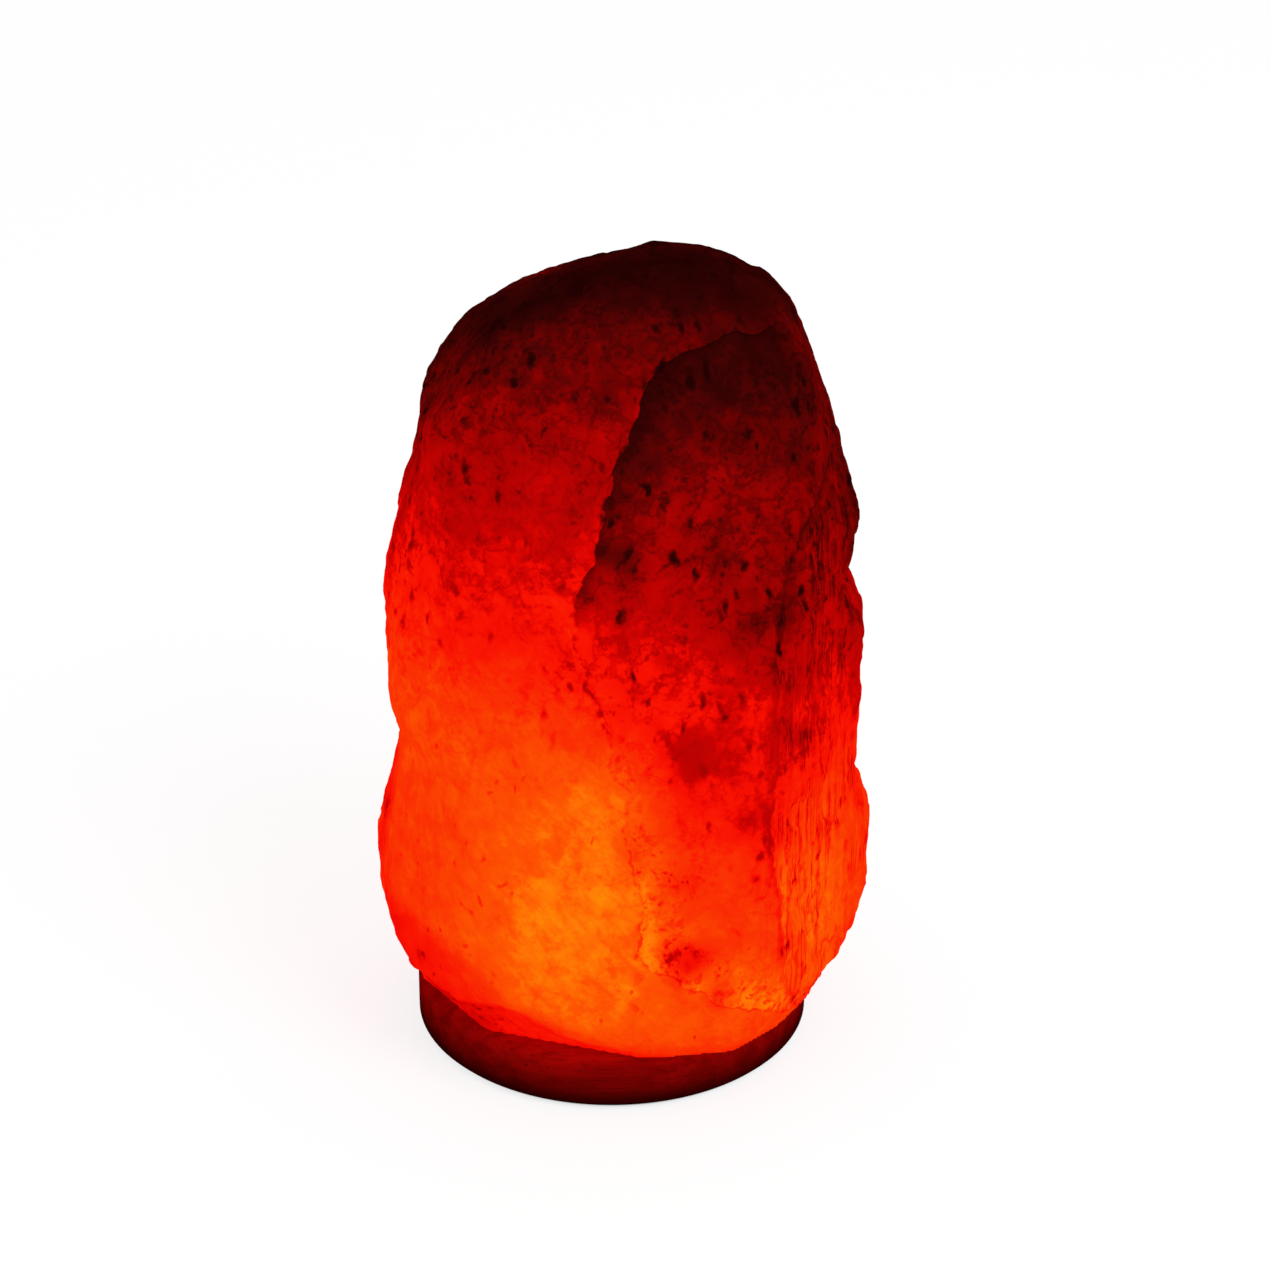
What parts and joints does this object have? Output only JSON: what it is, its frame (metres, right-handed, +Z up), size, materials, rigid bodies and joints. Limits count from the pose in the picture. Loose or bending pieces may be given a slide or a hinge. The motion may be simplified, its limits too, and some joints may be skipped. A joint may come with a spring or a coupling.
{
  "type": "salt crystal lamp",
  "caption": "Hewn rock-salt lump lit from inside by a small bulb, on a round dark wooden base with a plug-in lamp holder.",
  "frame": {"origin": "on the wooden base's axis, at the height of the table that the felt ring rests on", "axes": "+Z up, -Y the front that the picture looks at, +X to the right as seen from the front"},
  "size_m": [0.1518, 0.1261, 0.2492],
  "materials": {
    "salt": "translucent rough crystal",
    "dark_wood": "dark satin lacquer",
    "felt": "matte felt",
    "zinc_steel": "zinc plated",
    "spring_steel": "bright rolled strip",
    "brass": "drawn brass",
    "plug_nylon": "matte nylon",
    "holder_plastic": "moulded black thermoset",
    "contact_ceramic": "unglazed steatite",
    "clear_glass": "clear",
    "black_glass": "black vitrite",
    "cap_metal": "nickelled brass",
    "solder": "dull solder",
    "lead_wire": "drawn wire",
    "filament_wire": "glowing coil"
  },
  "bodies": {
    "lamp_body": {"salt_crystal": "salt", "wooden_base": "dark_wood", "felt_ring": "felt", "base_screws": "zinc_steel", "salt_plugs": "plug_nylon"},
    "lampholder": {"flange_plate": "zinc_steel", "spring_clip_1": "spring_steel", "spring_clip_2": "spring_steel", "spring_clip_3": "spring_steel", "clip_rivets": "zinc_steel", "threaded_nipple": "zinc_steel", "nipple_nut": "zinc_steel", "lock_washer": "spring_steel", "holder_cap": "holder_plastic", "cap_grub_screw": "zinc_steel", "holder_skirt": "holder_plastic", "contact_block": "contact_ceramic", "terminal_block_live": "brass", "terminal_block_neutral": "brass", "terminal_screws": "zinc_steel", "screw_shell": "brass", "centre_contact": "brass"},
    "bulb": {"bulb_glass": "clear_glass", "bulb_cap": "cap_metal", "cap_insulator": "black_glass", "cap_contact": "solder", "glass_stem": "clear_glass", "lead_wires": "lead_wire", "filament": "filament_wire", "filament_support": "lead_wire"}
  },
  "joints": [
    {"name": "holder_pull", "type": "slide", "parent": "lamp_body", "child": "lampholder", "axis": [0, 0, -1], "range_m": [0, 0.14]},
    {"name": "bulb_lift", "type": "slide", "parent": "lampholder", "child": "bulb", "axis": [0, 0, 1], "range_m": [0, 0.022]}
  ]
}
